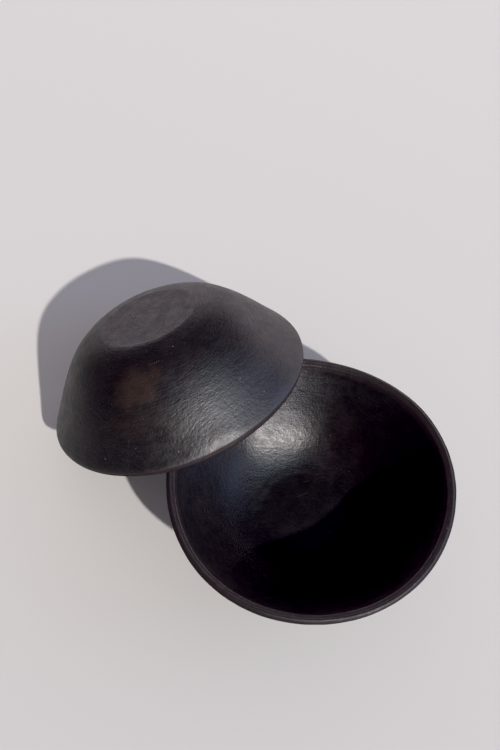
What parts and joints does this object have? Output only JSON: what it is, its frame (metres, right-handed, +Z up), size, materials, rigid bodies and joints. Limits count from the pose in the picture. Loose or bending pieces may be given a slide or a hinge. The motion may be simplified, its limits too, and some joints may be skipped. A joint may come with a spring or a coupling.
{
  "type": "black clay bowl pair",
  "caption": "Hand-formed, burnished black clay serving bowls: a wide upright bowl, and a matching bowl turned over and leaning on its rim.",
  "frame": {"origin": "centre of the upright bowl's flat foot, on the surface that both bowls rest on", "axes": "+Z up along the upright bowl's axis; the turned-over bowl lies towards -X and +Y"},
  "size_m": [0.2213, 0.2192, 0.0862],
  "materials": {
    "black_clay": "reduction-fired black clay, hand-burnished to a satin sheen with visible polishing strokes, unglazed"
  },
  "bodies": {
    "lower": {"lower_bowl": "black_clay"},
    "upper": {"upper_bowl": "black_clay"}
  },
  "joints": [
    {"name": "upper_bowl_lift", "type": "slide", "parent": "lower", "child": "upper", "axis": [0, 0, 1], "range_m": [0, 0.1]}
  ]
}
